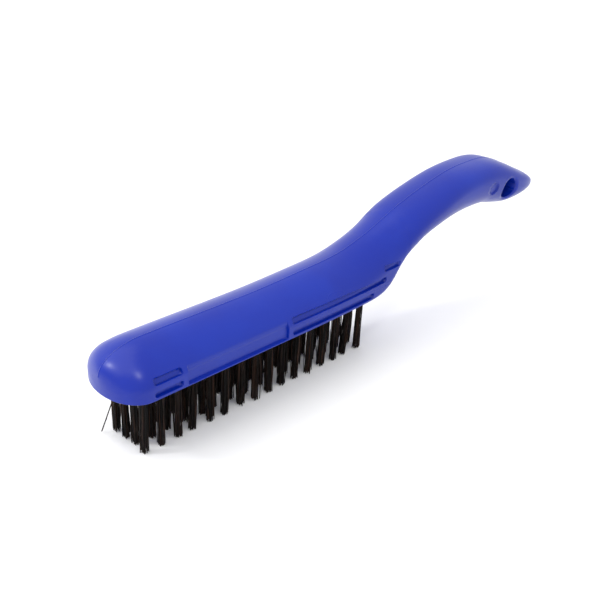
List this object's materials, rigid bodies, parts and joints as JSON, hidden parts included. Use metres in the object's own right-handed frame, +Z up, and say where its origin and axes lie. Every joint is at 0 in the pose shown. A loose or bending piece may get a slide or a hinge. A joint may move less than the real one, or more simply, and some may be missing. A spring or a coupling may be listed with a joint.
{
  "type": "wire scratch brush",
  "caption": "Hand-held wire scratch brush: a curved moulded plastic shoe handle with a hanging hole and a block of stiff dark steel wire tufts for scrubbing rust, paint and weld slag.",
  "frame": {"origin": "centre of the bounding box on the plane of the wire tips, where the brush stands", "axes": "+X along the handle from the nose to the tail, +Y across, +Z up from the wire tips to the handle"},
  "size_m": [0.254, 0.034, 0.0675],
  "materials": {
    "blue_plastic": "satin moulded polypropylene",
    "wire_steel": "dark oil-tempered steel wire",
    "anchor_steel": "bright flat wire"
  },
  "bodies": {
    "root": {"handle": "blue_plastic", "tuft_row_01": "wire_steel", "tuft_row_02": "wire_steel", "tuft_row_03": "wire_steel", "tuft_row_04": "wire_steel", "tuft_row_05": "wire_steel", "tuft_row_06": "wire_steel", "tuft_row_07": "wire_steel", "tuft_row_08": "wire_steel", "tuft_row_09": "wire_steel", "tuft_row_10": "wire_steel", "tuft_row_11": "wire_steel", "tuft_row_12": "wire_steel", "tuft_row_13": "wire_steel", "tuft_row_14": "wire_steel", "tuft_row_15": "wire_steel", "tuft_row_16": "wire_steel", "anchor_row_01": "anchor_steel", "anchor_row_02": "anchor_steel", "anchor_row_03": "anchor_steel", "anchor_row_04": "anchor_steel", "anchor_row_05": "anchor_steel", "anchor_row_06": "anchor_steel", "anchor_row_07": "anchor_steel", "anchor_row_08": "anchor_steel", "anchor_row_09": "anchor_steel", "anchor_row_10": "anchor_steel", "anchor_row_11": "anchor_steel", "anchor_row_12": "anchor_steel", "anchor_row_13": "anchor_steel", "anchor_row_14": "anchor_steel", "anchor_row_15": "anchor_steel", "anchor_row_16": "anchor_steel", "stray_wire": "wire_steel"}
  },
  "joints": []
}
